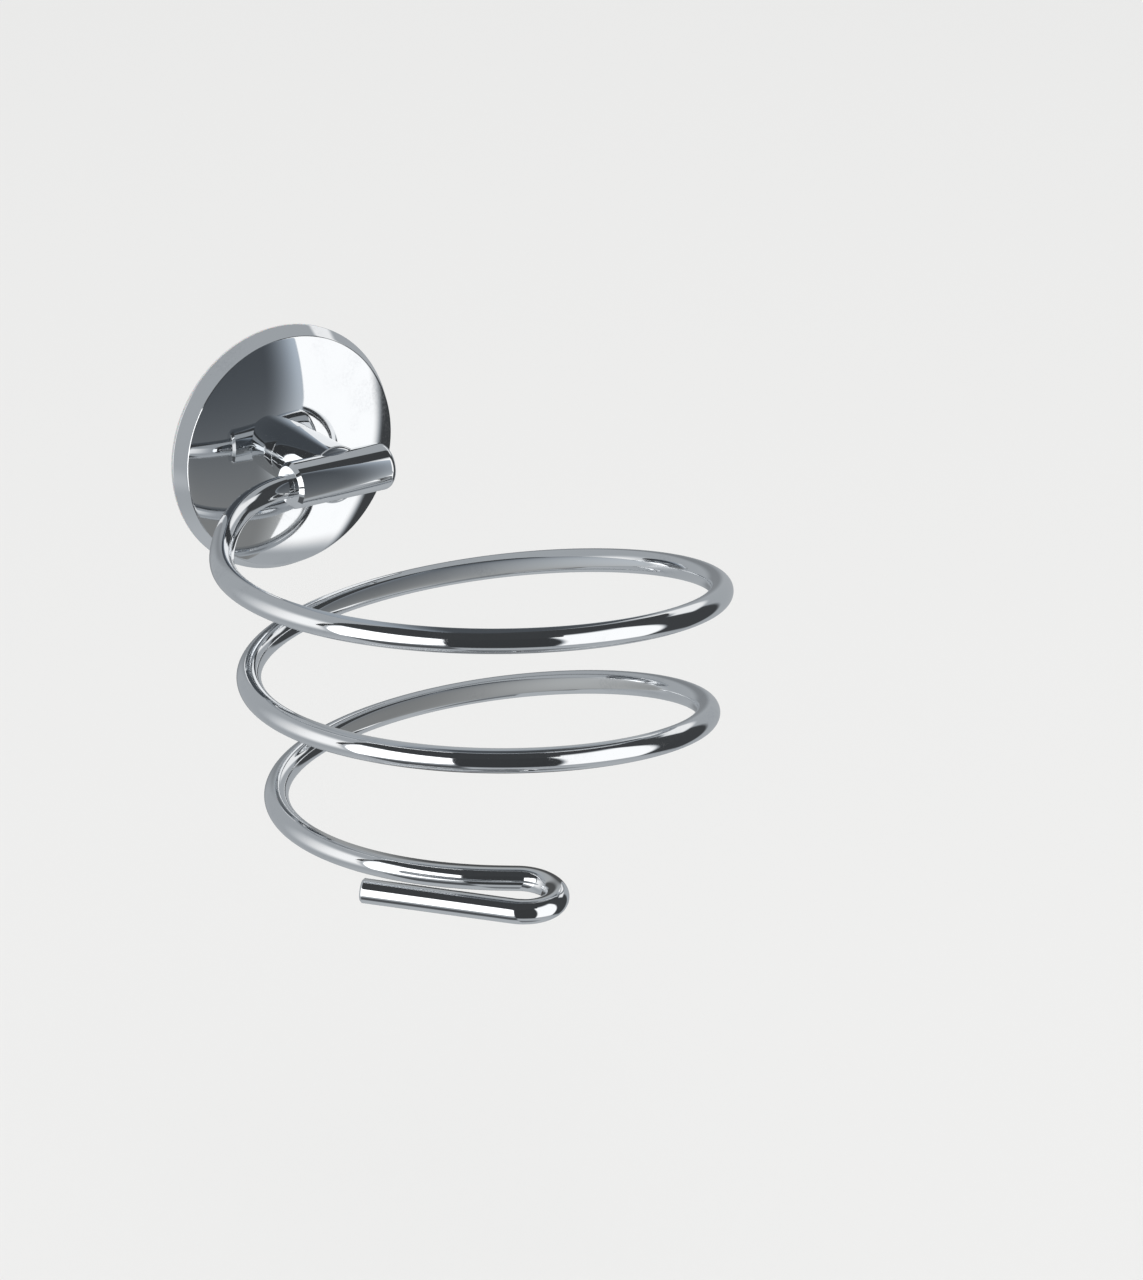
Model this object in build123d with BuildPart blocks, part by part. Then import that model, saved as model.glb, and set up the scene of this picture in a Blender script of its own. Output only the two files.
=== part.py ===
"""Wall-mounted hair dryer holder: a chrome wire spiral on a post with a round rosette.

Frame, in millimetres: the wall is the plane Y = 0 and the holder stands off it towards -Y, with +Z up.
The origin is the middle of the wall plate's back face, between its two screw holes.
"""

import math
import os

from build123d import *

os.makedirs("parts", exist_ok=True)

# ---------------------------------------------------------------- driving dimensions
WIRE_RADIUS = 2.5
RUNNING_GAP = 0.03  # radial gap of everything that slides or turns
EDGE_BREAK = 0.4  # small chamfer on cut ends

# Rosette: a domed cup with a slightly conical side.
ROSETTE_BACK_RADIUS = 27.0
ROSETTE_EDGE_RADIUS = 25.2
ROSETTE_EDGE_Y = -4.2
ROSETTE_DOME_HEIGHT = 2.6
ROSETTE_WALL = 1.4
ROSETTE_LAND_RADIUS = 7.5  # flat seat for the post in the middle of the dome
ROSETTE_EDGE_ROUND = 0.35

# Backing ring: the soft ring between the rosette's edge and the wall.
BACKING_THICKNESS = 0.5
BACKING_OUTER_RADIUS = 26.8
BACKING_WIDTH = 1.3

# Wall plate and the spigot riveted into it.
PLATE_RADIUS = 20.0
PLATE_THICKNESS = 2.5
SCREW_SPACING = 26.0
SCREW_HOLE_RADIUS = 2.2
SCREW_HEAD_RADIUS = 4.1
SPIGOT_RADIUS = 4.0
SPIGOT_TENON_RADIUS = 3.2
SPIGOT_FLANGE_RADIUS = 6.0
SPIGOT_FLANGE_THICKNESS = 1.4
SPIGOT_TIP_Y = -14.5
SPIGOT_FLAT_DEPTH = 1.0
SPIGOT_FLAT_LENGTH = 7.0

# Post, with a nose that carries the rosette and a blind bore for the spigot.
POST_RADIUS = 6.25
POST_NOSE_RADIUS = 5.25
POST_NOSE_LENGTH = 2.5
POST_BORE_END_Y = -16.5
POST_END_ROUND = 0.8
RETAINER_RADIUS = 8.6
RETAINER_THICKNESS = 0.6

# Wire socket: a cross tube on the post's end, open at -X, with the wire's straight end inside it.
SOCKET_Y = -23.0
SOCKET_RADIUS = 5.0
SOCKET_HALF_LENGTH = 12.0
SOCKET_FLOOR_X = 8.0
SOCKET_MOUTH_CHAMFER = 0.8
SOCKET_END_ROUND = 1.6

# Grub screws: the post screw locks the post on the spigot, the clamp screw holds the wire.
POST_SCREW_RADIUS = 1.5
POST_SCREW_LENGTH = 3.0
POST_SCREW_Y = -11.5
CLAMP_SCREW_RADIUS = 2.0
HEX_SOCKET_DEPTH = 1.3

# Spiral: turns are counted from the back, over -X, the front and +X, going down.
FIRST_TURN_RADIUS = 52.0
TAPER_PER_TURN = 3.9
PITCH = 25.6
LEAN_DEGREES = 5.5  # the front of every turn is tipped up by this
COIL_START_TURN = 0.14
COIL_END_TURN = 2.415
POINTS_PER_TURN = 16

# Plug hook: a short straight, a bend to the outside and a straight tail.
HOOK_STRAIGHT = 3.5
HOOK_RADIUS = 7.2
HOOK_BEND_DEGREES = 195.0
HOOK_DROOP_DEGREES = 4.0
TAIL_LENGTH = 30.5

# ---------------------------------------------------------------- derived places
LAND_Y = ROSETTE_EDGE_Y - ROSETTE_DOME_HEIGHT
SEAT_INNER_Y = LAND_Y + ROSETTE_WALL
NOSE_END_Y = LAND_Y + POST_NOSE_LENGTH
SOCKET_BACK_Y = SOCKET_Y + SOCKET_RADIUS
WIRE_BACK_Y = SOCKET_Y + WIRE_RADIUS
SPIGOT_FLAT_Z = -(SPIGOT_RADIUS - SPIGOT_FLAT_DEPTH)

TOWARDS_ROOM = Vector(0, -1, 0)


def room_plane(y, z_dir=TOWARDS_ROOM):
    """A plane parallel to the wall at the given Y, facing the room."""
    return Plane(origin=(0, y, 0), x_dir=(1, 0, 0), z_dir=z_dir)


def finish(piece, name):
    """Label the finished piece and write its STEP file."""
    piece.part.label = name
    export_step(piece.part, f"parts/{name}.step")


# ---------------------------------------------------------------- wall plate
with BuildPart() as wall_plate:
    with BuildSketch(room_plane(0)):
        Circle(PLATE_RADIUS)
        Circle(SPIGOT_TENON_RADIUS, mode=Mode.SUBTRACT)
    extrude(amount=PLATE_THICKNESS)
    front_rim = wall_plate.faces().sort_by(Axis.Y)[0].outer_wire().edges()
    chamfer(front_rim, EDGE_BREAK)
    with Locations(room_plane(-PLATE_THICKNESS)):
        with GridLocations(0, SCREW_SPACING, 1, 2):
            CounterSinkHole(SCREW_HOLE_RADIUS, SCREW_HEAD_RADIUS, PLATE_THICKNESS)
finish(wall_plate, "wall_plate")

# ---------------------------------------------------------------- spigot
FLANGE_FRONT_Y = -PLATE_THICKNESS - SPIGOT_FLANGE_THICKNESS

with BuildPart() as spigot:
    with BuildSketch(room_plane(0)):
        Circle(SPIGOT_TENON_RADIUS)
    extrude(amount=PLATE_THICKNESS)
    with BuildSketch(room_plane(-PLATE_THICKNESS)):
        Circle(SPIGOT_FLANGE_RADIUS)
    extrude(amount=SPIGOT_FLANGE_THICKNESS)
    with BuildSketch(room_plane(FLANGE_FRONT_Y)):
        Circle(SPIGOT_RADIUS)
    extrude(amount=FLANGE_FRONT_Y - SPIGOT_TIP_Y)
    tip_edge = spigot.faces().sort_by(Axis.Y)[0].edges()
    chamfer(tip_edge, EDGE_BREAK)
    # The flat under the spigot runs out at its tip, so the locked screw never hooks on it.
    with BuildSketch(room_plane(SPIGOT_TIP_Y)):
        with Locations((0, SPIGOT_FLAT_Z)):
            Rectangle(2 * SPIGOT_RADIUS, SPIGOT_RADIUS, align=(Align.CENTER, Align.MAX))
    extrude(amount=-SPIGOT_FLAT_LENGTH, mode=Mode.SUBTRACT)
finish(spigot, "spigot")

# ---------------------------------------------------------------- rosette
HALF_SECTION = Plane.XY  # X is the radius and Y is the wall's normal


def dome_midpoint(edge_radius, edge_y, land_radius, land_y, bulge):
    """A point a little outside the chord from the edge to the land, for a shallow arc."""
    chord = Vector(land_radius - edge_radius, land_y - edge_y)
    outward = Vector(-chord.Y, chord.X).normalized()
    middle = Vector(edge_radius, edge_y) + chord * 0.5
    if outward.Y > 0:
        outward = outward * -1
    return middle + outward * bulge


DOME_BULGE = 0.62
INNER_BACK_RADIUS = ROSETTE_BACK_RADIUS - ROSETTE_WALL
INNER_EDGE_RADIUS = ROSETTE_EDGE_RADIUS - ROSETTE_WALL
INNER_EDGE_Y = ROSETTE_EDGE_Y + ROSETTE_WALL

with BuildPart() as rosette:
    with BuildSketch(HALF_SECTION):
        with BuildLine():
            side = Line((ROSETTE_BACK_RADIUS, -BACKING_THICKNESS), (ROSETTE_EDGE_RADIUS, ROSETTE_EDGE_Y))
            dome = ThreePointArc(
                side @ 1,
                dome_midpoint(ROSETTE_EDGE_RADIUS, ROSETTE_EDGE_Y, ROSETTE_LAND_RADIUS, LAND_Y, DOME_BULGE),
                (ROSETTE_LAND_RADIUS, LAND_Y),
            )
            land = Line(dome @ 1, (POST_NOSE_RADIUS + RUNNING_GAP, LAND_Y))
            hole = Line(land @ 1, (POST_NOSE_RADIUS + RUNNING_GAP, SEAT_INNER_Y))
            seat = Line(hole @ 1, (ROSETTE_LAND_RADIUS, SEAT_INNER_Y))
            inside = ThreePointArc(
                seat @ 1,
                dome_midpoint(INNER_EDGE_RADIUS, INNER_EDGE_Y, ROSETTE_LAND_RADIUS, SEAT_INNER_Y, DOME_BULGE),
                (INNER_EDGE_RADIUS, INNER_EDGE_Y),
            )
            wall = Line(inside @ 1, (INNER_BACK_RADIUS, -BACKING_THICKNESS))
            back = Line(wall @ 1, side @ 0)
        make_face()
    revolve(axis=Axis.Y)
    front_edge = rosette.edges().filter_by(GeomType.CIRCLE).filter_by(
        lambda edge: abs(edge.radius - ROSETTE_EDGE_RADIUS) < 0.01
    )
    fillet(front_edge, ROSETTE_EDGE_ROUND)
finish(rosette, "rosette")

# ---------------------------------------------------------------- backing ring
with BuildPart() as backing_ring:
    with BuildSketch(room_plane(0)):
        Circle(BACKING_OUTER_RADIUS)
        Circle(BACKING_OUTER_RADIUS - BACKING_WIDTH, mode=Mode.SUBTRACT)
    extrude(amount=BACKING_THICKNESS)
finish(backing_ring, "backing_ring")

# ---------------------------------------------------------------- rosette retainer
# A dished push-on ring: it grips the post's nose and presses the rosette against the shoulder.
RETAINER_DISH = 0.8

with BuildPart() as rosette_retainer:
    with BuildSketch(HALF_SECTION):
        with BuildLine():
            Polyline(
                (POST_NOSE_RADIUS, SEAT_INNER_Y + RETAINER_DISH),
                (RETAINER_RADIUS, SEAT_INNER_Y + RUNNING_GAP),
                (RETAINER_RADIUS, SEAT_INNER_Y + RUNNING_GAP + RETAINER_THICKNESS),
                (POST_NOSE_RADIUS, SEAT_INNER_Y + RETAINER_DISH + RETAINER_THICKNESS),
                close=True,
            )
        make_face()
    revolve(axis=Axis.Y)
finish(rosette_retainer, "rosette_retainer")

# ---------------------------------------------------------------- wire socket
SOCKET_PLANE = Plane(origin=(-SOCKET_HALF_LENGTH, SOCKET_Y, 0), x_dir=(0, 1, 0), z_dir=(1, 0, 0))

with BuildPart() as wire_socket:
    with BuildSketch(SOCKET_PLANE):
        Circle(SOCKET_RADIUS)
    extrude(amount=2 * SOCKET_HALF_LENGTH)
    chamfer(wire_socket.faces().sort_by(Axis.X)[0].edges(), SOCKET_MOUTH_CHAMFER)
    fillet(wire_socket.faces().sort_by(Axis.X)[-1].edges(), SOCKET_END_ROUND)
    with BuildSketch(SOCKET_PLANE):
        Circle(WIRE_RADIUS + RUNNING_GAP)
    extrude(amount=SOCKET_HALF_LENGTH + SOCKET_FLOOR_X, mode=Mode.SUBTRACT)
    with BuildSketch(room_plane(POST_BORE_END_Y)):
        Circle(CLAMP_SCREW_RADIUS + RUNNING_GAP)
    extrude(amount=POST_BORE_END_Y - SOCKET_Y, mode=Mode.SUBTRACT)
finish(wire_socket, "wire_socket")

# ---------------------------------------------------------------- post
POST_SCREW_PLANE = Plane(origin=(0, POST_SCREW_Y, 0), x_dir=(1, 0, 0), z_dir=(0, 0, -1))

with BuildPart() as post:
    with BuildSketch(room_plane(LAND_Y)):
        Circle(POST_RADIUS)
    extrude(amount=LAND_Y - SOCKET_Y)
    fillet(post.faces().sort_by(Axis.Y)[0].edges(), POST_END_ROUND)
    with BuildSketch(room_plane(NOSE_END_Y)):
        Circle(POST_NOSE_RADIUS)
    extrude(amount=POST_NOSE_LENGTH)
    with BuildSketch(room_plane(NOSE_END_Y)):
        Circle(SPIGOT_RADIUS + RUNNING_GAP)
    extrude(amount=NOSE_END_Y - POST_BORE_END_Y, mode=Mode.SUBTRACT)
    # The clamp screw's hole runs on from the bore to the socket.
    with BuildSketch(room_plane(POST_BORE_END_Y)):
        Circle(CLAMP_SCREW_RADIUS + RUNNING_GAP)
    extrude(amount=POST_BORE_END_Y - SOCKET_Y, mode=Mode.SUBTRACT)
    with BuildSketch(POST_SCREW_PLANE):
        Circle(POST_SCREW_RADIUS + RUNNING_GAP)
    extrude(amount=2 * POST_RADIUS, mode=Mode.SUBTRACT)
    # The saddle in which the socket is brazed.
    with BuildSketch(SOCKET_PLANE):
        Circle(SOCKET_RADIUS)
    extrude(amount=2 * SOCKET_HALF_LENGTH, mode=Mode.SUBTRACT)
finish(post, "post")


# ---------------------------------------------------------------- grub screws
def grub_screw(plane, radius, length):
    """A set screw on the given plane: its tip is at the plane and its hex socket at the far end."""
    with BuildPart() as screw:
        with BuildSketch(plane):
            Circle(radius)
        extrude(amount=length)
        along = Axis(plane.origin, plane.z_dir)
        chamfer(screw.faces().sort_by(along)[0].edges(), EDGE_BREAK)
        with BuildSketch(plane.offset(length)):
            RegularPolygon(radius / 2, 6, major_radius=False)
        extrude(amount=-HEX_SOCKET_DEPTH, mode=Mode.SUBTRACT)
    return screw


POST_SCREW_TIP = Plane(
    origin=(0, POST_SCREW_Y, SPIGOT_FLAT_Z - RUNNING_GAP), x_dir=(1, 0, 0), z_dir=(0, 0, -1)
)
post_grub_screw = grub_screw(POST_SCREW_TIP, POST_SCREW_RADIUS, POST_SCREW_LENGTH)
finish(post_grub_screw, "post_grub_screw")

CLAMP_SCREW_TIP = room_plane(WIRE_BACK_Y + RUNNING_GAP, z_dir=-TOWARDS_ROOM)
clamp_screw_length = POST_BORE_END_Y - WIRE_BACK_Y - RUNNING_GAP
wire_clamp_screw = grub_screw(CLAMP_SCREW_TIP, CLAMP_SCREW_RADIUS, clamp_screw_length)
finish(wire_clamp_screw, "wire_clamp_screw")

# ---------------------------------------------------------------- spiral wire
COIL_TO_WORLD = Plane(origin=(0, SOCKET_Y, 0)).rotated((-LEAN_DEGREES, 0, 0))


def coil_point(turn):
    """The wire's centre line at a number of turns down from the back of the spiral."""
    angle = 2 * math.pi * turn
    radius = FIRST_TURN_RADIUS - TAPER_PER_TURN * turn
    local = Vector(
        -radius * math.sin(angle),
        radius * math.cos(angle) - FIRST_TURN_RADIUS,
        -PITCH * turn,
    )
    return COIL_TO_WORLD.from_local_coords(local)


def coil_direction(turn):
    """The way the wire runs at that point, as a unit vector."""
    step = 1e-4
    return (coil_point(turn + step) - coil_point(turn - step)).normalized()


socket_floor = Vector(SOCKET_FLOOR_X - 2 * EDGE_BREAK, SOCKET_Y, 0)
socket_mouth = Vector(-SOCKET_HALF_LENGTH, SOCKET_Y, 0)

coil_steps = round((COIL_END_TURN - COIL_START_TURN) * POINTS_PER_TURN)
turn_step = (COIL_END_TURN - COIL_START_TURN) / coil_steps
coil_points = [coil_point(COIL_START_TURN + i * turn_step) for i in range(coil_steps + 1)]

# The hook bends to the right of the wire's run, in a plane that droops a little outwards.
run = coil_direction(COIL_END_TURN)
level_right = Vector(run.Y, -run.X, 0).normalized()
droop = math.radians(HOOK_DROOP_DEGREES)
drooped = level_right * math.cos(droop) - Vector(0, 0, 1) * math.sin(droop)
hook_right = (drooped - run * drooped.dot(run)).normalized()
bend_start = coil_points[-1] + run * HOOK_STRAIGHT
bend_centre = bend_start + hook_right * HOOK_RADIUS


def bend_point(degrees):
    """A point on the hook's bend, counted from its start."""
    angle = math.radians(degrees)
    return bend_centre - hook_right * HOOK_RADIUS * math.cos(angle) + run * HOOK_RADIUS * math.sin(angle)


bend_angle = math.radians(HOOK_BEND_DEGREES)
tail_direction = hook_right * math.sin(bend_angle) + run * math.cos(bend_angle)
bend_end = bend_point(HOOK_BEND_DEGREES)
tail_end = bend_end + tail_direction * TAIL_LENGTH

with BuildPart() as spiral_wire:
    with BuildLine() as wire_run:
        Line(socket_floor, socket_mouth)
        Spline(
            [socket_mouth] + coil_points,
            tangents=[Vector(-1, 0, 0), run],
            tangent_scalars=[1, 1],
        )
        Line(coil_points[-1], bend_start)
        ThreePointArc(bend_start, bend_point(HOOK_BEND_DEGREES / 2), bend_end)
        Line(bend_end, tail_end)
    with BuildSketch(Plane(origin=socket_floor, z_dir=(-1, 0, 0))):
        Circle(WIRE_RADIUS)
    sweep(path=wire_run.wires()[0])
    for cut_end in (socket_floor, tail_end):
        end_face = spiral_wire.faces().filter_by(GeomType.PLANE).sort_by_distance(cut_end)[0]
        chamfer(end_face.edges(), EDGE_BREAK)
finish(spiral_wire, "spiral_wire")
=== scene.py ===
"""Looks for the hair dryer holder: a chrome wire spiral on a post, with a round rosette.

Lengths of the piece and of the studio's boards are millimetres in the CAD frame, while the floor, the lamps
and the camera use metres. The wall is Y = 0, the room is -Y and up is +Z.
"""

import math

import bmesh
import bpy
import numpy as np
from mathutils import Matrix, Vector


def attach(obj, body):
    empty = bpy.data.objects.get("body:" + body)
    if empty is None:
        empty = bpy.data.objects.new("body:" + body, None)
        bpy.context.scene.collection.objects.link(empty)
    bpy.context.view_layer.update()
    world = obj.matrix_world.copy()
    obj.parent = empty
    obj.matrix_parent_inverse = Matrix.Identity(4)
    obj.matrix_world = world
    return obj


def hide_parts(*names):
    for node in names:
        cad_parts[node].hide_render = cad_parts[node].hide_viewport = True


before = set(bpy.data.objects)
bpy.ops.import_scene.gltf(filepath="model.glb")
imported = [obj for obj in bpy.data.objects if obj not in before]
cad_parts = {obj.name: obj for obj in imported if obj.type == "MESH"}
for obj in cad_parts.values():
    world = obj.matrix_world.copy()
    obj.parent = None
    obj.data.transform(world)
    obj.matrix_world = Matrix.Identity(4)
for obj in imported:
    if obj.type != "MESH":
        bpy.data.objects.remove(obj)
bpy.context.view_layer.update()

MM = 0.001

# ---------------------------------------------------------------- shape of the wire
WIRE_RADIUS = 2.5
WIRE_END_CHAMFER = 0.4
SOCKET_Y = -23.0
SOCKET_FLOOR_X = 7.2
SOCKET_MOUTH_X = -12.0
FIRST_TURN_RADIUS = 52.0
TAPER_PER_TURN = 3.9
PITCH = 25.6
LEAN = math.radians(5.5)
COIL_START_TURN = 0.14
COIL_END_TURN = 2.415
POINTS_PER_TURN = 16
HOOK_STRAIGHT = 3.5
HOOK_RADIUS = 7.2
HOOK_BEND = math.radians(195.0)
HOOK_DROOP = math.radians(4.0)
TAIL_LENGTH = 30.5
RING_SPACING = 0.7
HOOK_RING_DENSITY = 1.6
RING_SIDES = 72
CHAMFER_SOFTNESS = 0.06
WIRE_SHARP_DEGREES = 28.0

# ---------------------------------------------------------------- shape of the rosette and its soft ring
ROSETTE_BACK_RADIUS = 27.0
ROSETTE_EDGE_RADIUS = 25.2
ROSETTE_EDGE_Y = -4.2
DOME_HEIGHT = 2.6
DOME_BULGE = 0.62
ROSETTE_WALL = 1.4
LAND_RADIUS = 7.5
POST_HOLE_RADIUS = 5.28
EDGE_ROUND = 0.35
RIM_ROUND = 0.25
POST_HOLE_ROUND = 0.15
RING_THICKNESS = 0.5
RING_OUTER_RADIUS = 26.8
RING_WIDTH = 1.3
RING_ROUND = 0.12
LATHE_SIDES = 288
DOME_STEPS = 40
INSIDE_STEPS = 24
SIDE_STEPS = 8
CORNER_STEPS = 6
RING_CORNER_STEPS = 4


# ================================================================ mesh helpers
def unit(v):
    """The vector at length 1."""
    return v / np.linalg.norm(v)


def make_object(name, vertices, faces, uvs=None, sharp_degrees=30.0):
    """A smooth-shaded mesh object from points in millimetres. uvs has one pair for each vertex."""
    mesh = bpy.data.meshes.new(name)
    mesh.from_pydata([tuple(np.asarray(v) * MM) for v in vertices], [], faces)
    if uvs is not None:
        layer = mesh.uv_layers.new(name="surface_mm")
        for loop in mesh.loops:
            layer.data[loop.index].uv = uvs[loop.vertex_index]
    bm = bmesh.new()
    bm.from_mesh(mesh)
    bmesh.ops.recalc_face_normals(bm, faces=bm.faces)
    bm.to_mesh(mesh)
    bm.free()
    mesh.shade_smooth()
    mesh.set_sharp_from_angle(angle=math.radians(sharp_degrees))
    piece = bpy.data.objects.new(name, mesh)
    bpy.context.scene.collection.objects.link(piece)
    return piece


def lathe(name, outline, sides=LATHE_SIDES):
    """Turn a closed outline of (radius, y) pairs about the Y axis."""
    count = len(outline)
    closed = outline + [outline[0]]
    steps = [math.dist(closed[i], closed[i + 1]) for i in range(count)]
    along = np.concatenate([[0.0], np.cumsum(steps)])[:count]
    vertices, uvs, faces = [], [], []
    for side in range(sides):
        angle = 2 * math.pi * side / sides
        for (radius, y), length in zip(outline, along):
            vertices.append((radius * math.sin(angle), y, radius * math.cos(angle)))
            uvs.append((angle * ROSETTE_BACK_RADIUS, length))
    for side in range(sides):
        here, there = side * count, (side + 1) % sides * count
        for i in range(count):
            j = (i + 1) % count
            faces.append((here + i, here + j, there + j, there + i))
    return make_object(name, vertices, faces, uvs)


def rounded(outline, corners, steps=CORNER_STEPS):
    """Round the corners of a closed outline. corners gives a radius for some of its points."""
    out = []
    count = len(outline)
    for i, point in enumerate(outline):
        radius = corners.get(i, 0.0)
        if radius == 0.0:
            out.append(tuple(point))
            continue
        here = np.array(point, float)
        back = unit(np.array(outline[i - 1], float) - here)
        ahead = unit(np.array(outline[(i + 1) % count], float) - here)
        half = math.acos(float(np.clip(back @ ahead, -1, 1))) / 2
        reach = radius / math.tan(half)
        centre = here + unit(back + ahead) * radius / math.sin(half)
        start = here + back * reach - centre
        end = here + ahead * reach - centre
        sweep = math.pi - 2 * half
        for k in range(steps + 1):
            t = k / steps
            spoke = (start * math.sin((1 - t) * sweep) + end * math.sin(t * sweep)) / math.sin(sweep)
            out.append(tuple(centre + spoke))
    return out


def arc_through(start, middle, end, steps):
    """Points on the circle through three points, without the end points."""
    (ax, ay), (bx, by), (cx, cy) = start, middle, end
    d = 2 * (ax * (by - cy) + bx * (cy - ay) + cx * (ay - by))
    a2, b2, c2 = ax * ax + ay * ay, bx * bx + by * by, cx * cx + cy * cy
    centre = np.array(
        [
            (a2 * (by - cy) + b2 * (cy - ay) + c2 * (ay - by)) / d,
            (a2 * (cx - bx) + b2 * (ax - cx) + c2 * (bx - ax)) / d,
        ]
    )
    radius = np.linalg.norm(np.array(start) - centre)
    first, last = unit(np.array(start) - centre), unit(np.array(end) - centre)
    sweep = math.acos(float(np.clip(first @ last, -1, 1)))
    points = []
    for k in range(1, steps):
        t = k / steps
        spoke = (first * math.sin((1 - t) * sweep) + last * math.sin(t * sweep)) / math.sin(sweep)
        points.append(tuple(centre + spoke * radius))
    return points


# ================================================================ the spiral wire
def coil_point(turn):
    """The wire's centre line at a number of turns down from the back of the spiral."""
    angle = 2 * math.pi * turn
    radius = FIRST_TURN_RADIUS - TAPER_PER_TURN * turn
    x = -radius * math.sin(angle)
    y = radius * math.cos(angle) - FIRST_TURN_RADIUS
    z = -PITCH * turn
    cos, sin = math.cos(LEAN), math.sin(LEAN)
    return np.array([x, SOCKET_Y + cos * y + sin * z, cos * z - sin * y])


def coil_direction(turn):
    """Which way the wire runs at that number of turns."""
    step = 1e-4
    return unit(coil_point(turn + step) - coil_point(turn - step))


def clamped_spline(points, start_direction, end_direction, spacing):
    """Points along the smooth cubic curve through the given points, with set directions at its ends."""
    points = np.array(points)
    gaps = np.linalg.norm(np.diff(points, axis=0), axis=1)
    count = len(points)
    matrix = np.zeros((count, count))
    right = np.zeros((count, 3))
    matrix[0, 0] = matrix[-1, -1] = 1.0
    right[0], right[-1] = start_direction, end_direction
    for i in range(1, count - 1):
        before, after = gaps[i - 1], gaps[i]
        matrix[i, i - 1 : i + 2] = after, 2 * (before + after), before
        right[i] = 3 * (
            after / before * (points[i] - points[i - 1]) + before / after * (points[i + 1] - points[i])
        )
    slopes = np.linalg.solve(matrix, right)
    out = []
    for i, gap in enumerate(gaps):
        steps = max(1, round(gap / spacing))
        for k in range(steps):
            t = k / steps
            out.append(
                (2 * t**3 - 3 * t**2 + 1) * points[i]
                + (t**3 - 2 * t**2 + t) * gap * slopes[i]
                + (3 * t**2 - 2 * t**3) * points[i + 1]
                + (t**3 - t**2) * gap * slopes[i + 1]
            )
    return out + [points[-1]]


def straight(start, end, spacing):
    """Points from start to end, without the end."""
    steps = max(1, round(float(np.linalg.norm(end - start)) / spacing))
    return [start + (end - start) * k / steps for k in range(steps)]


def wire_centre_line():
    """The whole wire: socket, spiral, short straight, plug hook and tail."""
    mouth = np.array([SOCKET_MOUTH_X, SOCKET_Y, 0.0])
    floor = np.array([SOCKET_FLOOR_X, SOCKET_Y, 0.0])
    steps = round((COIL_END_TURN - COIL_START_TURN) * POINTS_PER_TURN)
    turns = [COIL_START_TURN + (COIL_END_TURN - COIL_START_TURN) * i / steps for i in range(steps + 1)]
    run = coil_direction(COIL_END_TURN)
    level_right = unit(np.array([run[1], -run[0], 0.0]))
    drooped = level_right * math.cos(HOOK_DROOP) - np.array([0.0, 0.0, math.sin(HOOK_DROOP)])
    hook_right = unit(drooped - run * (drooped @ run))
    coil = clamped_spline(
        [mouth] + [coil_point(turn) for turn in turns], np.array([-1.0, 0.0, 0.0]), run, RING_SPACING
    )
    bend_start = coil[-1] + run * HOOK_STRAIGHT
    centre = bend_start + hook_right * HOOK_RADIUS
    bend_steps = round(HOOK_BEND * HOOK_RADIUS / RING_SPACING * HOOK_RING_DENSITY)
    bend = []
    for k in range(bend_steps + 1):
        angle = HOOK_BEND * k / bend_steps
        spoke = run * math.sin(angle) - hook_right * math.cos(angle)
        bend.append(centre + spoke * HOOK_RADIUS)
    tail_direction = hook_right * math.sin(HOOK_BEND) + run * math.cos(HOOK_BEND)
    tail_end = bend[-1] + tail_direction * TAIL_LENGTH
    return np.array(
        straight(floor, mouth, RING_SPACING)
        + coil[:-1]
        + straight(coil[-1], bend_start, RING_SPACING)
        + bend[:-1]
        + straight(bend[-1], tail_end, RING_SPACING)
        + [tail_end]
    )


def sweep_wire(name, line):
    """A round wire along the line, with a chamfer and a flat face at each end."""
    lengths = np.concatenate([[0.0], np.cumsum(np.linalg.norm(np.diff(line, axis=0), axis=1))])
    directions = np.gradient(line, lengths, axis=0)
    directions /= np.linalg.norm(directions, axis=1)[:, None]
    cut, soft = WIRE_END_CHAMFER, CHAMFER_SOFTNESS
    end_steps = [
        (0.0, WIRE_RADIUS - cut - soft),
        (soft * 0.4, WIRE_RADIUS - cut),
        (cut - soft * 0.4, WIRE_RADIUS - soft * 0.5),
        (cut + soft, WIRE_RADIUS),
    ]
    total = lengths[-1]
    stations = list(end_steps)
    stations += [(s, WIRE_RADIUS) for s in lengths if 1.5 * cut < s < total - 1.5 * cut]
    stations += [(total - s, r) for s, r in reversed(end_steps)]
    side = unit(np.cross(directions[0], [0.0, 0.0, 1.0]))
    vertices, uvs, faces = [], [], []
    for s, radius in stations:
        centre = np.array([np.interp(s, lengths, line[:, k]) for k in range(3)])
        along = unit(np.array([np.interp(s, lengths, directions[:, k]) for k in range(3)]))
        side = unit(side - along * (side @ along))
        other = np.cross(along, side)
        for k in range(RING_SIDES):
            angle = 2 * math.pi * k / RING_SIDES
            vertices.append(centre + radius * (side * math.cos(angle) + other * math.sin(angle)))
            uvs.append((s, angle * WIRE_RADIUS))
    for ring in range(len(stations) - 1):
        for k in range(RING_SIDES):
            here = ring * RING_SIDES
            there = here + RING_SIDES
            ahead = (k + 1) % RING_SIDES
            faces.append((here + k, here + ahead, there + ahead, there + k))
    last = (len(stations) - 1) * RING_SIDES
    faces.append(tuple(range(RING_SIDES)))
    faces.append(tuple(last + k for k in reversed(range(RING_SIDES))))
    return make_object(name, vertices, faces, uvs, sharp_degrees=WIRE_SHARP_DEGREES)


# ================================================================ materials
CHROME = (0.80, 0.815, 0.83)
CHROME_WORN = (0.70, 0.715, 0.735)
PIT_COLOR = (0.34, 0.34, 0.35)
PIT_DARKENING = 0.55

# What each mark adds to the roughness of polished chrome.
SMUDGE_ROUGHNESS = 0.10
HAIRLINE_ROUGHNESS = 0.10
POLISH_ROUGHNESS = 0.014
RUB_ROUGHNESS = 0.10

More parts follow.
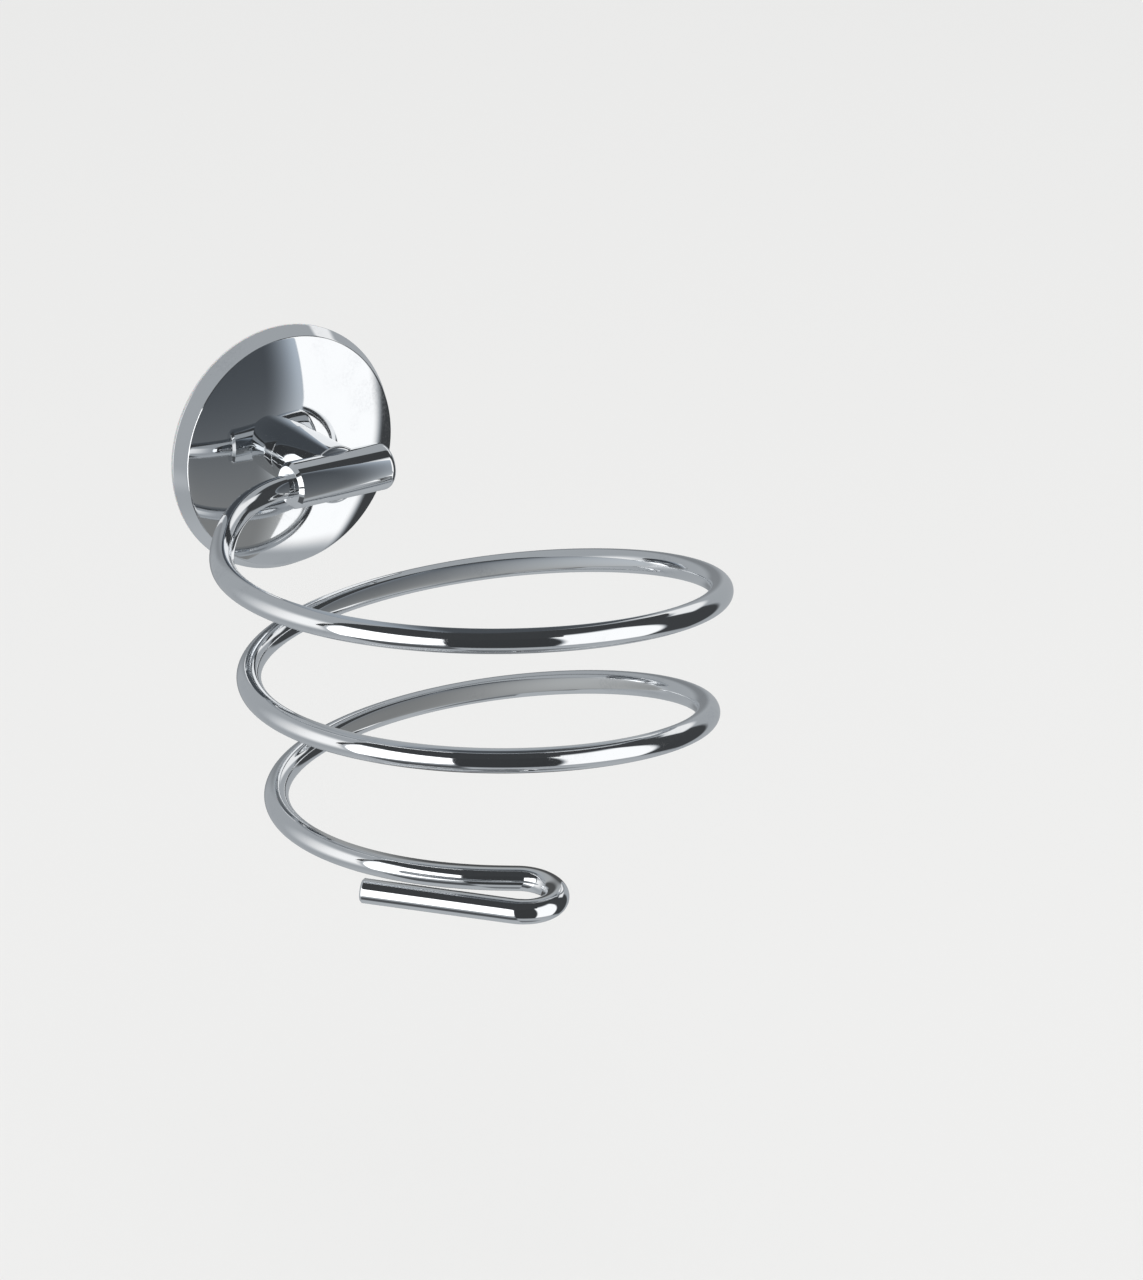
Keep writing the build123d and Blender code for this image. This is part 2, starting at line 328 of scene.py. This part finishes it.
# Height of each mark as a share of the relief, and the relief in metres.
POLISH_HEIGHT = 0.10
HAIRLINE_DEPTH = 0.25
PIT_DEPTH = 0.5
WAVE_HEIGHT = 1.4
CHROME_RELIEF = 0.0022 * MM

# Raw metal: brighter and smoother edges, and how far the roughness varies with the grain.
RAW_EDGE_RADIUS = 0.18
RAW_EDGE_BRIGHTNESS = 1.35
RAW_EDGE_SHARE = 0.6
RAW_EDGE_POLISH = 0.10
RAW_ROUGHNESS_BELOW = 0.08
RAW_ROUGHNESS_ABOVE = 0.12
RAW_GRAIN_HEIGHT = 0.6
RAW_LINE_HEIGHT = 0.5
COARSE_RELIEF = 0.02 * MM


class Tree:
    """Short names for adding nodes to a node tree and joining them."""

    def __init__(self, tree):
        self.tree = tree
        tree.nodes.clear()

    def add(self, kind, settings=None, **inputs):
        """A node with its settings and inputs. An input is a value or another node's output.

        i0, i1 and so on name an input by its number, and other names are the input's own label.
        """
        node = self.tree.nodes.new("ShaderNode" + kind)
        for key, value in (settings or {}).items():
            setattr(node, key, value)
        for key, value in inputs.items():
            numbered = key[0] == "i" and key[1:].isdigit()
            target = node.inputs[int(key[1:]) if numbered else key.replace("_", " ")]
            if isinstance(value, bpy.types.NodeSocket):
                self.tree.links.new(value, target)
            else:
                target.default_value = value
        return node

    def math(self, operation, a, b=0.0, c=0.0, clamp=False):
        """A calculation with up to three numbers or number sockets."""
        return self.add("Math", {"operation": operation, "use_clamp": clamp}, i0=a, i1=b, i2=c).outputs[0]

    def ramp(self, value, low, high, out_low=0.0, out_high=1.0):
        """A smooth step from out_low to out_high as value goes from low to high."""
        settings = {"interpolation_type": "SMOOTHSTEP"}
        return self.add("MapRange", settings, i0=value, i1=low, i2=high, i3=out_low, i4=out_high).outputs[0]

    def window(self, value, start, full, fading, end):
        """0 up to start, 1 from full to fading, 0 again from end on."""
        rise = self.ramp(value, start, full)
        fall = self.ramp(value, fading, end, 1.0, 0.0)
        return self.math("MULTIPLY", rise, fall)

    def mix(self, factor, a, b):
        """Mix of two numbers or number sockets."""
        return self.add("Mix", {"data_type": "FLOAT"}, i0=factor, i2=a, i3=b).outputs[0]

    def mix_color(self, factor, a, b):
        """Mix of two colours or colour sockets."""
        a, b = (color if isinstance(color, bpy.types.NodeSocket) else (*color, 1.0) for color in (a, b))
        return self.add("Mix", {"data_type": "RGBA"}, i0=factor, i6=a, i7=b).outputs[2]

    def noise(self, vector, scale, detail=3.0, roughness=0.5, distortion=0.0):
        """Noise from 0 to 1 at the given points."""
        pattern = {"Scale": scale, "Detail": detail, "Roughness": roughness, "Distortion": distortion}
        return self.add("TexNoise", None, Vector=vector, **pattern).outputs["Fac"]

    def stretched(self, vector, scale):
        """The points with each coordinate multiplied by its own factor."""
        return self.add("Mapping", None, Vector=vector, Scale=scale).outputs[0]


def new_material(name):
    """An empty node material and the helper for its nodes."""
    material = bpy.data.materials.new(name)
    material.use_nodes = True
    return material, Tree(material.node_tree)


def millimetres(t):
    """The piece's own coordinates in millimetres, which move with it."""
    coords = t.add("TexCoord").outputs["Object"]
    return t.stretched(coords, (1 / MM, 1 / MM, 1 / MM))


def edge_mask(t, radius_mm):
    """1 near sharp edges, 0 on flat and gently curved surfaces, and the rounded normal."""
    soft = t.add("Bevel", {"samples": 6}, Radius=radius_mm * MM).outputs[0]
    flat = t.add("NewGeometry").outputs["Normal"]
    likeness = t.add("VectorMath", {"operation": "DOT_PRODUCT"}, i0=soft, i1=flat).outputs["Value"]
    return t.ramp(likeness, 0.995, 0.9), soft


def finish_material(t, **inputs):
    """The closing shader of a material, with the given inputs."""
    shader = t.add("BsdfPrincipled", None, **inputs)
    t.add("OutputMaterial", None, Surface=shader.outputs[0])


def polished_chrome(name, lines=None, line_strength=1.0, edge_radius=0.12, base_rough=0.028):
    """Bright plating with polishing lines, hairline scratches, thin smudges and slightly rubbed edges.

    lines is None for a piece without surface coordinates, or the stretch of its polishing lines.
    """
    material, t = new_material(name)
    mm = millimetres(t)
    smudge_area = t.noise(mm, scale=0.055, detail=3.0, roughness=0.55, distortion=0.6)
    smudge_grain = t.noise(mm, scale=1.4, detail=5.0, roughness=0.65)
    smudge = t.math("MULTIPLY", t.ramp(smudge_area, 0.50, 0.72), t.ramp(smudge_grain, 0.32, 0.70))
    if lines is None:
        line_space = t.stretched(mm, (0.25, 5.0, 5.0))
    else:
        line_space = t.stretched(t.add("TexCoord").outputs["UV"], lines)
    polish = t.noise(line_space, scale=1.0, detail=3.0, roughness=0.6)
    hairline = t.noise(line_space, scale=3.1, detail=2.0, roughness=0.5, distortion=0.35)
    hairline_area = t.noise(mm, scale=0.09, detail=2.0)
    hairline = t.math("MULTIPLY", t.ramp(hairline, 0.71, 0.78), t.ramp(hairline_area, 0.42, 0.62))
    pits = t.ramp(t.noise(mm, scale=3.2, detail=2.0, roughness=0.5), 0.755, 0.80)
    edge, soft_normal = edge_mask(t, edge_radius)
    rub = t.math("MULTIPLY", edge, t.ramp(t.noise(mm, scale=0.8, detail=3.0), 0.35, 0.65))

    roughness = t.mix(smudge, base_rough, base_rough + SMUDGE_ROUGHNESS)
    roughness = t.math("ADD", roughness, t.math("MULTIPLY", hairline, HAIRLINE_ROUGHNESS * line_strength))
    roughness = t.math("ADD", roughness, t.math("MULTIPLY", polish, POLISH_ROUGHNESS * line_strength))
    roughness = t.math("ADD", roughness, t.math("MULTIPLY", rub, RUB_ROUGHNESS), clamp=True)

    tone = t.mix_color(smudge, CHROME, CHROME_WORN)
    tone = t.mix_color(t.math("MULTIPLY", pits, PIT_DARKENING), tone, PIT_COLOR)

    height = t.math("MULTIPLY", polish, POLISH_HEIGHT * line_strength)
    height = t.math("SUBTRACT", height, t.math("MULTIPLY", hairline, HAIRLINE_DEPTH * line_strength))
    height = t.math("SUBTRACT", height, t.math("MULTIPLY", pits, PIT_DEPTH))
    height = t.math("ADD", height, t.math("MULTIPLY", t.noise(mm, scale=0.16, detail=1.0), WAVE_HEIGHT))
    bump = t.add("Bump", None, Strength=1.0, Distance=CHROME_RELIEF, Height=height, Normal=soft_normal)
    finish_material(t, Base_Color=tone, Metallic=1.0, Roughness=roughness, Normal=bump.outputs[0])
    return material


def raw_metal(name, color, dark, grain, line_scale, rough):
    """Unplated metal: cast grain, tool lines and brighter worn edges."""
    material, t = new_material(name)
    mm = millimetres(t)
    blotch = t.ramp(t.noise(mm, scale=0.18, detail=4.0, roughness=0.6), 0.35, 0.68)
    fine = t.noise(mm, scale=grain, detail=4.0, roughness=0.6)
    tool_lines = t.noise(t.stretched(mm, line_scale), scale=1.0, detail=2.0, roughness=0.55)
    edge, soft_normal = edge_mask(t, RAW_EDGE_RADIUS)
    bright = tuple(min(1.0, c * RAW_EDGE_BRIGHTNESS) for c in color)
    tone = t.mix_color(blotch, dark, color)
    tone = t.mix_color(t.math("MULTIPLY", edge, RAW_EDGE_SHARE), tone, bright)
    roughness = t.mix(fine, rough - RAW_ROUGHNESS_BELOW, rough + RAW_ROUGHNESS_ABOVE)
    edge_polish = t.math("MULTIPLY", edge, RAW_EDGE_POLISH)
    roughness = t.math("SUBTRACT", roughness, edge_polish, clamp=True)
    grain_height = t.math("MULTIPLY", fine, RAW_GRAIN_HEIGHT)
    line_height = t.math("MULTIPLY", tool_lines, RAW_LINE_HEIGHT)
    height = t.math("ADD", grain_height, line_height)
    bump = t.add("Bump", None, Strength=0.8, Distance=COARSE_RELIEF, Height=height, Normal=soft_normal)
    finish_material(t, Base_Color=tone, Metallic=1.0, Roughness=roughness, Normal=bump.outputs[0])
    return material


def soft_plastic(name):
    """The rosette's backing ring: milky grey plastic with mould grain and a little dust."""
    material, t = new_material(name)
    mm = millimetres(t)
    dust = t.ramp(t.noise(mm, scale=0.7, detail=5.0, roughness=0.7), 0.5, 0.75)
    tone = t.mix_color(dust, (0.55, 0.56, 0.57), (0.66, 0.66, 0.65))
    grain = t.noise(mm, scale=6.0, detail=3.0, roughness=0.6)
    bump = t.add("Bump", None, Strength=0.5, Distance=COARSE_RELIEF, Height=grain)
    roughness = t.mix(dust, 0.42, 0.62)
    finish_material(
        t,
        Base_Color=tone,
        Roughness=roughness,
        Normal=bump.outputs[0],
        Subsurface_Weight=0.25,
        Subsurface_Scale=0.0008,
    )
    return material


wire_chrome = polished_chrome("wire_chrome", lines=(0.16, 4.5, 1.0))
rosette_chrome = polished_chrome("rosette_chrome", lines=(0.10, 6.0, 1.0), line_strength=0.7)
turned_chrome = polished_chrome("turned_chrome", line_strength=0.8)
cast_zinc = raw_metal(
    "cast_zinc",
    color=(0.56, 0.57, 0.59),
    dark=(0.40, 0.41, 0.43),
    grain=2.6,
    line_scale=(0.3, 4.0, 4.0),
    rough=0.42,
)
spring_steel = raw_metal(
    "spring_steel",
    color=(0.30, 0.31, 0.36),
    dark=(0.17, 0.18, 0.22),
    grain=3.4,
    line_scale=(3.0, 0.6, 3.0),
    rough=0.34,
)
screw_steel = raw_metal(
    "screw_steel",
    color=(0.56, 0.56, 0.57),
    dark=(0.42, 0.42, 0.43),
    grain=3.0,
    line_scale=(5.0, 5.0, 0.6),
    rough=0.30,
)
ring_plastic = soft_plastic("ring_plastic")

# ================================================================ pieces
wire = sweep_wire("chrome_spiral", wire_centre_line())
wire.data.materials.append(wire_chrome)
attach(wire, "spiral")
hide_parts("spiral_wire")


def dome_middle(edge_radius, edge_y, land_y):
    """A point a little outside the chord from the rosette's edge to its flat land."""
    chord = np.array([LAND_RADIUS - edge_radius, land_y - edge_y])
    outward = unit(np.array([-chord[1], chord[0]]))
    if outward[1] > 0:
        outward = -outward
    return tuple(np.array([edge_radius, edge_y]) + chord * 0.5 + outward * DOME_BULGE)


def rosette_outline():
    """The rosette's section as (radius, y) pairs, from the back rim over the front to the inside."""
    land_y = ROSETTE_EDGE_Y - DOME_HEIGHT
    seat_y = land_y + ROSETTE_WALL
    inner_edge = (ROSETTE_EDGE_RADIUS - ROSETTE_WALL, ROSETTE_EDGE_Y + ROSETTE_WALL)
    front_edge = (ROSETTE_EDGE_RADIUS, ROSETTE_EDGE_Y)
    rim_out = (ROSETTE_BACK_RADIUS, -RING_THICKNESS)
    rim_in = (ROSETTE_BACK_RADIUS - ROSETTE_WALL, -RING_THICKNESS)
    land = (LAND_RADIUS, land_y)
    seat = (LAND_RADIUS, seat_y)
    dome = arc_through(front_edge, dome_middle(*front_edge, land_y), land, DOME_STEPS)
    inside = arc_through(seat, dome_middle(*inner_edge, seat_y), inner_edge, INSIDE_STEPS)
    slope = np.array(front_edge) - np.array(rim_out)
    side = [tuple(np.array(rim_out) + slope * k / SIDE_STEPS) for k in range(1, SIDE_STEPS)]
    points = [rim_out] + side + [front_edge] + dome
    hole_front, hole_back = (POST_HOLE_RADIUS, land_y), (POST_HOLE_RADIUS, seat_y)
    points += [land, hole_front, hole_back, seat] + inside + [inner_edge, rim_in]
    corners = {
        points.index(rim_out): RIM_ROUND,
        points.index(front_edge): EDGE_ROUND,
        points.index(hole_front): POST_HOLE_ROUND,
        points.index(rim_in): RIM_ROUND,
    }
    return rounded(points, corners)


rosette = lathe("rosette_shell", rosette_outline())
rosette.data.materials.append(rosette_chrome)
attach(rosette, "holder")
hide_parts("rosette")

ring_inner = RING_OUTER_RADIUS - RING_WIDTH
ring_outline = [(RING_OUTER_RADIUS, 0.0), (RING_OUTER_RADIUS, -RING_THICKNESS)]
ring_outline += [(ring_inner, -RING_THICKNESS), (ring_inner, 0.0)]
ring_corners = {corner: RING_ROUND for corner in range(len(ring_outline))}
soft_ring = lathe("soft_backing_ring", rounded(ring_outline, ring_corners, RING_CORNER_STEPS))
soft_ring.data.materials.append(ring_plastic)
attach(soft_ring, "holder")
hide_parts("backing_ring")

CAD_FINISH = {
    "wall_plate": cast_zinc,
    "spigot": cast_zinc,
    "rosette_retainer": spring_steel,
    "post": turned_chrome,
    "wire_socket": turned_chrome,
    "post_grub_screw": screw_steel,
    "wire_clamp_screw": screw_steel,
}
for node_name, material in CAD_FINISH.items():
    node_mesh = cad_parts[node_name].data
    node_mesh.materials.clear()
    node_mesh.materials.append(material)

# ================================================================ studio
FLOOR_Z = -0.25
FLOOR_HALF = 9.0
FLOOR_TONE = (0.77, 0.77, 0.767)
FLOOR_BLOTCH = 0.985
ROOM_LIGHT = 1.02
ROOM_TINT = (1.0, 1.0, 0.996)
LAMP_AIM = (0.0, -0.06, 0.0)

# Side view of the glowing stand-in that paints a hair dryer's reflection, as (share of its half width and
# half depth, height in millimetres).
DRYER_REFLECTION_OUTLINE = [
    (0.0, 220.0),
    (1.0, 220.0),
    (1.0, 40.0),
    (0.97, 0.0),
    (0.84, -45.0),
    (0.70, -78.0),
    (0.0, -78.0),
]
DRYER_REFLECTION_HALF_WIDTH = 42.0
DRYER_REFLECTION_HALF_DEPTH = 33.0
DRYER_REFLECTION_Y = -76.0
DRYER_REFLECTION_SIDES = 96

# Extent of the softbox on the left, in millimetres.
SOFTBOX_X = -450.0
SOFTBOX_Y = (-530.0, -38.0)
SOFTBOX_Z = (-292.0, 285.0)
SOFTBOX_EDGE = 14.0
SOFTBOX_BRIGHTNESS = 1.9

# Corners of the black boards in millimetres: (x, y) for the level roof, (y, z) for the two upright ones.
ROOF_FLAG_Z = 220.0
ROOF_FLAG_CORNERS = [(-320.0, -450.0), (60.0, -450.0), (60.0, -25.0), (-320.0, -25.0)]
LEFT_FLAG_X = -300.0
LEFT_FLAG_CORNERS = [(-55.0, 10.0), (-36.0, 10.0), (-36.0, 220.0), (-55.0, 220.0)]
RIGHT_FLAG_X = 150.0
RIGHT_FLAG_CORNERS = [
    (-450.0, 430.0),
    (-130.0, 180.0),
    (-110.0, 100.0),
    (-30.0, 100.0),
    (-30.0, 600.0),
    (-450.0, 600.0),
]
BLACK_FLAG_BRIGHTNESS = 0.055

# The tint of dark parts of the studio.
COOL_TINT = (0.93, 0.985, 1.04)

# Brightness of the world in reflections: all round, straight down, and in zones. A zone has four azimuths
# and four elevations in degrees, where it starts, is full, begins to fade and ends, and its brightness.
# Azimuth 0 is the room side and 90 the right. A later zone covers an earlier one.
AROUND_BRIGHTNESS = 0.43
GROUND_BRIGHTNESS = 0.50
ZONES = [
    ((-160, -110, -103, -97), (-36, -8, 24, 44), 1.10),  # glow at the back on the left
    ((-50, -40, 62, 70), (-99, -95, -72, -62), 0.20),  # dark floor in front
    ((-85, -82, 98, 104), (28, 38, 95, 99), 0.055),  # black ceiling
    ((-98, -94, -48, -40), (-70, -60, -42, -36), 0.10),  # dark line under the left softbox
    ((-49, -44, 4, 9), (-46, -41, 60, 64), 0.05),  # dark camera side
    ((54, 60, 99, 106), (-46, -40, 46, 52), 0.06),  # dark flag on the right
    ((4, 9, 54, 60), (-43, -37, 38, 50), 1.20),  # front softbox
    ((88, 95, 128, 138), (17, 22, 32, 36), 1.00),  # small softbox on the right
    ((138, 150, 158, 174), (-32, -20, 14, 26), 0.26),  # darker corner at the back
]


def studio_floor():
    """A wide pale floor. Chrome doesn't mirror it, so the metal shows only the studio around it."""
    material, t = new_material("pale_floor")
    coords = t.add("TexCoord").outputs["Object"]
    darker = tuple(c * FLOOR_BLOTCH for c in FLOOR_TONE)
    tone = t.mix_color(t.noise(coords, scale=1.5, detail=3.0), FLOOR_TONE, darker)
    finish_material(t, Base_Color=tone, Roughness=0.85, Specular_IOR_Level=0.0)
    mesh = bpy.data.meshes.new("studio_floor")
    h = FLOOR_HALF
    mesh.from_pydata([(-h, -h, 0), (h, -h, 0), (h, h, 0), (-h, h, 0)], [], [(0, 1, 2, 3)])
    mesh.materials.append(material)
    floor = bpy.data.objects.new("studio_floor", mesh)
    floor.location.z = FLOOR_Z
    bpy.context.scene.collection.objects.link(floor)
    floor.visible_glossy = False


def glossy_only(card, material):
    """A stage piece that only reflections see: it has no shadow and no camera or floor ray meets it."""
    card.data.materials.append(material)
    card.visible_camera = False
    card.visible_diffuse = False
    card.visible_shadow = False
    card.visible_transmission = False


def painted_dryer_reflection():
    """A glowing grey round stand-in inside the spiral, where a hair dryer would stand: it paints the
    dryer's reflection, lit and shaded, for the chrome only.
    """
    vertices, faces = [], []
    for side in range(DRYER_REFLECTION_SIDES):
        angle = 2 * math.pi * side / DRYER_REFLECTION_SIDES
        across, toward_wall = DRYER_REFLECTION_HALF_WIDTH * math.sin(angle), DRYER_REFLECTION_HALF_DEPTH * math.cos(angle)
        for share, height in DRYER_REFLECTION_OUTLINE:
            vertices.append((share * across, DRYER_REFLECTION_Y + share * toward_wall, height))
    count = len(DRYER_REFLECTION_OUTLINE)
    for side in range(DRYER_REFLECTION_SIDES):
        here, there = side * count, (side + 1) % DRYER_REFLECTION_SIDES * count
        for i in range(count - 1):
            faces.append((here + i, here + i + 1, there + i + 1, there + i))
    material, t = new_material("painted_dryer_reflection")
    coords = t.add("TexCoord").outputs["Object"]
    split = t.add("SeparateXYZ", None, Vector=coords)
    x, y, z = (split.outputs[axis] for axis in "XYZ")
    # Painted light and shade of a hair dryer in reflection: dark at the top and grey below, with lighter
    # strips at the sides and a band towards the room. The pattern's heights and widths are metres.
    low = t.ramp(z, 0.03, -0.05)
    wall_side = t.mix(low, 0.085, 0.24)
    wall_side = t.mix(t.ramp(x, 0.008, 0.038), wall_side, 0.66)
    room_side = t.mix(t.window(z, -0.038, -0.030, -0.006, 0.006), 0.09, 0.45)
    room_side = t.mix(t.ramp(x, -0.024, -0.038), room_side, 0.42)
    strength = t.mix(t.ramp(y, -0.085, -0.050), room_side, wall_side)
    tint = t.mix_color(low, (0.86, 0.97, 1.10), (0.98, 1.0, 1.0))
    glow = t.add("Emission", None, Color=tint, Strength=strength)
    clear = t.add("BsdfTransparent")
    facing = t.add("LayerWeight", None, Blend=0.5).outputs["Facing"]
    edge = t.ramp(facing, 0.72, 0.98)
    both = t.add("MixShader", None, i0=edge, i1=glow.outputs[0], i2=clear.outputs[0])
    t.add("OutputMaterial", None, Surface=both.outputs[0])
    glossy_only(make_object("painted_dryer_reflection", vertices, faces), material)


def left_softbox():
    """An upright softbox on the left with soft edges."""
    (y_low, y_high), (z_low, z_high) = SOFTBOX_Y, SOFTBOX_Z
    corners = [(y_low, z_low), (y_high, z_low), (y_high, z_high), (y_low, z_high)]
    material, t = new_material("left_softbox")
    split = t.add("SeparateXYZ", None, Vector=t.add("TexCoord").outputs["Object"])
    edges = []
    for axis, (low, high) in (("Y", SOFTBOX_Y), ("Z", SOFTBOX_Z)):
        steps = (low, low + SOFTBOX_EDGE, high - SOFTBOX_EDGE, high)
        edges.append(t.window(split.outputs[axis], *(step * MM for step in steps)))
    inside = t.math("MULTIPLY", *edges)
    glow = t.add("Emission", None, Strength=SOFTBOX_BRIGHTNESS)
    clear = t.add("BsdfTransparent")
    both = t.add("MixShader", None, i0=inside, i1=clear.outputs[0], i2=glow.outputs[0])
    t.add("OutputMaterial", None, Surface=both.outputs[0])
    points = [(SOFTBOX_X, y, z) for y, z in corners]
    glossy_only(make_object("left_softbox", points, [tuple(range(len(points)))]), material)


def black_flags():
    """Black boards: a roof above the spiral, a wall high on its right and a strip on its left."""
    boards = {
        "roof_flag": [(x, y, ROOF_FLAG_Z) for x, y in ROOF_FLAG_CORNERS],
        "left_flag": [(LEFT_FLAG_X, y, z) for y, z in LEFT_FLAG_CORNERS],
        "right_flag": [(RIGHT_FLAG_X, y, z) for y, z in RIGHT_FLAG_CORNERS],
    }
    material, t = new_material("black_flag")
    glow = t.add("Emission", None, Color=(*COOL_TINT, 1.0), Strength=BLACK_FLAG_BRIGHTNESS)
    t.add("OutputMaterial", None, Surface=glow.outputs[0])
    for name, corners in boards.items():
        glossy_only(make_object(name, corners, [tuple(range(len(corners)))]), material)


def studio_world():
    """Light grey for the camera, even light for everything else, and the zones for reflections."""
    world = bpy.data.worlds.new("studio")
    bpy.context.scene.world = world
    world.use_nodes = True
    t = Tree(world.node_tree)
    direction = t.add("TexCoord").outputs["Generated"]
    split = t.add("SeparateXYZ", None, Vector=direction)
    degrees = math.degrees(1.0)
    toward_room = t.math("MULTIPLY", split.outputs["Y"], -1.0)
    azimuth = t.math("MULTIPLY", t.math("ARCTAN2", split.outputs["X"], toward_room), degrees)
    elevation = t.math("MULTIPLY", t.math("ARCSINE", split.outputs["Z"]), degrees)

    level = t.mix(t.ramp(elevation, -40.0, -65.0), AROUND_BRIGHTNESS, GROUND_BRIGHTNESS)
    for azimuths, elevations, brightness in ZONES:
        across = t.window(azimuth, *azimuths)
        upward = t.window(elevation, *elevations)
        level = t.mix(t.math("MULTIPLY", across, upward), level, brightness)
    tint = t.mix_color(t.ramp(level, 0.3, 1.0), COOL_TINT, (1.0, 1.0, 1.0))
    studio = t.add("Background", None, Color=tint, Strength=level)
    rays = t.add("LightPath")
    mirrored = rays.outputs["Is Glossy Ray"]
    plain_light = t.mix(rays.outputs["Is Camera Ray"], ROOM_LIGHT, ROOM_LIGHT * FLOOR_TONE[0])
    plain = t.add("Background", None, Color=(*ROOM_TINT, 1.0), Strength=plain_light)
    both = t.add("MixShader", None, i0=mirrored, i1=plain.outputs[0], i2=studio.outputs[0])
    t.add("OutputWorld", None, Surface=both.outputs[0])


def soft_light(name, place, size, power):
    """A round lamp aimed at the spiral. Reflections don't see it."""
    data = bpy.data.lights.new(name, "AREA")
    data.shape = "DISK"
    data.size = size
    data.energy = power
    lamp = bpy.data.objects.new(name, data)
    lamp.location = place
    lamp.rotation_euler = (Vector(LAMP_AIM) - Vector(place)).to_track_quat("-Z", "Y").to_euler()
    lamp.visible_glossy = False
    bpy.context.scene.collection.objects.link(lamp)


studio_floor()
painted_dryer_reflection()
black_flags()
left_softbox()
studio_world()
soft_light("key_light", (-0.7, -1.1, 1.3), size=0.9, power=3.5)
soft_light("top_light", (0.5, 0.2, 1.6), size=1.2, power=2.5)

# ================================================================ camera
CAMERA_AZIMUTH = math.radians(-34.13)
CAMERA_ELEVATION = math.radians(20.82)
CAMERA_DISTANCE = 1.227
CAMERA_TARGET = Vector((0.02423, -0.07449, -0.02579))
CAMERA_LENS = 167.33
SENSOR_WIDTH = 36.0

camera_data = bpy.data.cameras.new("camera")
camera_data.lens = CAMERA_LENS
camera_data.sensor_width = SENSOR_WIDTH
camera_data.clip_start = 0.05
camera_data.clip_end = 50.0
camera = bpy.data.objects.new("camera", camera_data)
back = Vector(
    (
        math.sin(CAMERA_AZIMUTH) * math.cos(CAMERA_ELEVATION),
        -math.cos(CAMERA_AZIMUTH) * math.cos(CAMERA_ELEVATION),
        math.sin(CAMERA_ELEVATION),
    )
)
camera.location = CAMERA_TARGET + back * CAMERA_DISTANCE
camera.rotation_mode = "QUATERNION"
camera.rotation_quaternion = (-back).to_track_quat("-Z", "Y")
bpy.context.scene.collection.objects.link(camera)
bpy.context.scene.camera = camera
bpy.context.scene.view_settings.view_transform = "Standard"
